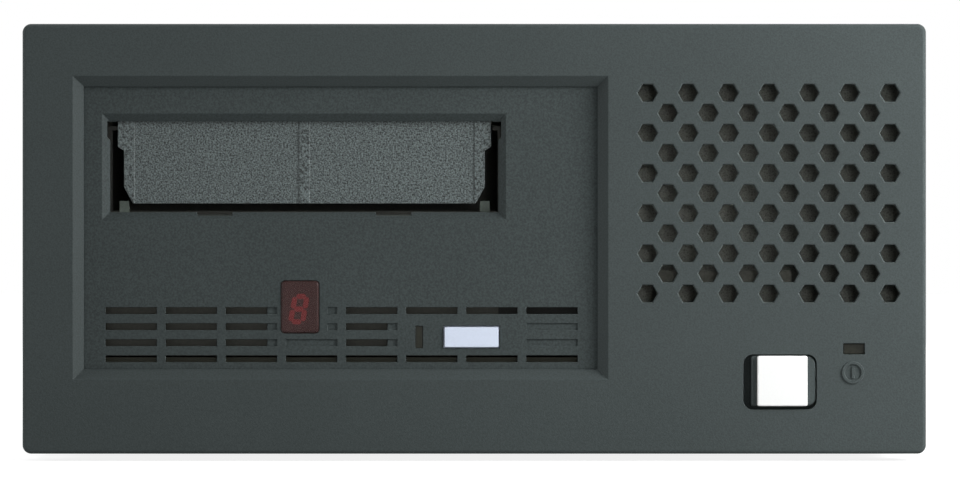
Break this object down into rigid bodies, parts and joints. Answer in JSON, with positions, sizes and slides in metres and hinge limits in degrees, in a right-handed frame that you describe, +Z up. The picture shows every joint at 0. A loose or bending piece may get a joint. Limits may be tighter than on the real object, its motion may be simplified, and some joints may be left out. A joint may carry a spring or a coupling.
{
  "type": "data tape drive",
  "caption": "Desktop unit in a steel case: a full-height cartridge drive behind a bevelled window, with its own power supply, fan and power button.",
  "frame": {"origin": "on the floor under the middle of the object's bounding box", "axes": "+X to the right seen from the front, +Y towards the back, +Z up"},
  "size_m": [0.248, 0.3262, 0.12],
  "materials": {
    "front_plastic": "fine texture",
    "drive_plastic": "fine texture",
    "door_plastic": "coarse texture",
    "key_plastic": "satin",
    "inner_plastic": "satin",
    "feeler_plastic": "satin",
    "pale_plastic": "satin",
    "case_paint": "textured",
    "zinc_sheet": "zinc plated",
    "screw_steel": "plated",
    "guard_wire": "plated",
    "contact_metal": "plated",
    "shell_metal": "plated",
    "cast_frame": "die cast",
    "board_green": "lacquered",
    "lamp_lens": "clear tinted",
    "display_tint": "clear tinted",
    "foot_rubber": "matt",
    "filter_foam": "open-cell foam"
  },
  "bodies": {
    "case": {"front_bezel": "front_plastic", "drive_bezel": "drive_plastic", "display_module": "inner_plastic", "fan_frame": "inner_plastic", "mains_inlet": "inner_plastic", "selector_body": "inner_plastic", "data_cable": "inner_plastic", "internal_leads": "inner_plastic", "top_cover": "case_paint", "base_tray": "zinc_sheet", "power_bracket": "zinc_sheet", "drive_brackets": "zinc_sheet", "drive_top_cover": "zinc_sheet", "drive_bottom_cover": "zinc_sheet", "case_screws": "screw_steel", "drive_screws": "screw_steel", "power_button_spring": "screw_steel", "door_spring": "screw_steel", "jack_posts": "screw_steel", "reel_motors": "screw_steel", "loader_motor": "screw_steel", "threader_motor": "screw_steel", "fan_guard": "guard_wire", "inlet_pins": "contact_metal", "data_connectors": "shell_metal", "drive_frame": "cast_frame", "head_base": "cast_frame", "supply_channel": "cast_frame", "power_switch_board": "board_green", "supply_board": "board_green", "front_panel_board": "board_green", "logic_board": "board_green", "power_lamp_lens": "lamp_lens", "status_lamp_lens": "lamp_lens", "display_window": "display_tint", "rubber_feet": "foot_rubber", "air_filter": "filter_foam"},
    "power_button_body": {"power_button": "pale_plastic", "power_button_carrier": "inner_plastic"},
    "unload_key_body": {"unload_key": "key_plastic"},
    "door": {"slot_door": "door_plastic"},
    "feeler": {"cartridge_feeler": "feeler_plastic"},
    "cams": {"cam_plates": "zinc_sheet"},
    "lift": {"lift_frame": "zinc_sheet"},
    "bay": {"cartridge_tray": "inner_plastic"},
    "cam_shaft_body": {"cam_shaft": "zinc_sheet"},
    "loader_pinion_body": {"loader_pinion": "contact_metal"},
    "takeup": {"takeup_reel": "pale_plastic"},
    "clutch": {"reel_clutch": "pale_plastic"},
    "roller_1": {"guide_roller_1": "screw_steel"},
    "roller_2": {"guide_roller_2": "screw_steel"},
    "roller_3": {"guide_roller_3": "screw_steel"},
    "roller_4": {"guide_roller_4": "screw_steel"},
    "fan": {"fan_rotor": "inner_plastic"},
    "dial": {"selector_dial": "pale_plastic"},
    "head": {"head_carriage": "cast_frame"},
    "threader": {"threader_arm": "inner_plastic"},
    "threader_pinion_body": {"threader_pinion": "contact_metal"},
    "key_up": {"selector_key_up": "pale_plastic"},
    "key_down": {"selector_key_down": "pale_plastic"}
  },
  "joints": [
    {"name": "power_button_press", "type": "slide", "parent": "case", "child": "power_button_body", "axis": [0, 1, 0], "range_m": [0, 0.0025], "stiffness_N_per_m": 600, "springref_m": -0.0015, "deforming": ["power_button_spring"]},
    {"name": "unload_key_press", "type": "slide", "parent": "case", "child": "unload_key_body", "axis": [0, 1, 0], "range_m": [0, 0.0008], "stiffness_N_per_m": 1200, "springref_m": -0.0005},
    {"name": "door_swing", "type": "hinge", "parent": "case", "child": "door", "pos_m": [-0.0468, -0.1537, 0.09575], "axis": [1, 0, 0], "range_deg": [0, 88], "stiffness_Nm_per_rad": 0.004, "springref_deg": -20.05},
    {"name": "feeler_swing", "type": "hinge", "parent": "case", "child": "feeler", "pos_m": [-0.0468, -0.1514, 0.06685], "axis": [-1, 0, 0], "range_deg": [0, 80], "stiffness_Nm_per_rad": 0.002, "springref_deg": -20.05},
    {"name": "cam_slide", "type": "slide", "parent": "case", "child": "cams", "axis": [0, 1, 0], "range_m": [0, 0.012]},
    {"name": "lift_drop", "type": "slide", "parent": "case", "child": "lift", "axis": [0, 0, -1], "range_m": [0, 0.007]},
    {"name": "tray_draw", "type": "slide", "parent": "lift", "child": "bay", "axis": [0, 1, 0], "range_m": [0, 0.018]},
    {"name": "cam_shaft_spin", "type": "hinge", "parent": "case", "child": "cam_shaft_body", "pos_m": [-0.0468, -0.034, 0.05195], "axis": [-1, 0, 0], "range_deg": [0, 95.5]},
    {"name": "loader_pinion_spin", "type": "hinge", "parent": "case", "child": "loader_pinion_body", "pos_m": [0.022, -0.0526, 0.05195], "axis": [1, 0, 0], "range_deg": [0, 233.5]},
    {"name": "takeup_spin", "type": "hinge", "parent": "case", "child": "takeup", "pos_m": [-0.0067, 0.014, 0.06], "axis": [0, 0, 1], "continuous": true},
    {"name": "clutch_spin", "type": "hinge", "parent": "case", "child": "clutch", "pos_m": [-0.0468, -0.092, 0.06], "axis": [0, 0, 1], "continuous": true},
    {"name": "roller_1_spin", "type": "hinge", "parent": "case", "child": "roller_1", "pos_m": [-0.07791, -0.02859, 0.072], "axis": [0, 0, 1], "continuous": true},
    {"name": "roller_2_spin", "type": "hinge", "parent": "case", "child": "roller_2", "pos_m": [-0.08771, -0.01549, 0.072], "axis": [0, 0, 1], "continuous": true},
    {"name": "roller_3_spin", "type": "hinge", "parent": "case", "child": "roller_3", "pos_m": [-0.08771, 0.00749, 0.072], "axis": [0, 0, 1], "continuous": true},
    {"name": "roller_4_spin", "type": "hinge", "parent": "case", "child": "roller_4", "pos_m": [-0.07791, 0.02059, 0.072], "axis": [0, 0, 1], "continuous": true},
    {"name": "fan_spin", "type": "hinge", "parent": "case", "child": "fan", "pos_m": [0.083, 0.145, 0.076], "axis": [0, 1, 0], "continuous": true},
    {"name": "dial_turn", "type": "hinge", "parent": "case", "child": "dial", "pos_m": [-0.008, 0.1495, 0.053], "axis": [1, 0, 0], "continuous": true},
    {"name": "head_lift", "type": "slide", "parent": "case", "child": "head", "axis": [0, 0, 1], "range_m": [-0.002, 0.002]},
    {"name": "threader_swing", "type": "hinge", "parent": "case", "child": "threader", "pos_m": [-0.0587, -0.004, 0.085], "axis": [0, 0, -1], "range_deg": [0, 168]},
    {"name": "threader_pinion_spin", "type": "hinge", "parent": "case", "child": "threader_pinion_body", "pos_m": [-0.0494, -0.02011, 0.085], "axis": [0, 0, 1], "range_deg": [0, 411]},
    {"name": "selector_key_up_press", "type": "slide", "parent": "case", "child": "key_up", "axis": [0, -1, 0], "range_m": [0, 0.0012], "stiffness_N_per_m": 600, "springref_m": -0.0008},
    {"name": "selector_key_down_press", "type": "slide", "parent": "case", "child": "key_down", "axis": [0, -1, 0], "range_m": [0, 0.0012], "stiffness_N_per_m": 600, "springref_m": -0.0008}
  ],
  "couplings": [
    {"joint": "lift_drop", "follows": "cam_slide", "ratio": 0.58333},
    {"joint": "cam_shaft_spin", "follows": "cam_slide", "rad_per_m": 138.89},
    {"joint": "loader_pinion_spin", "follows": "cam_slide", "rad_per_m": 339.51},
    {"joint": "threader_pinion_spin", "follows": "threader_swing", "ratio": 2.4444}
  ]
}
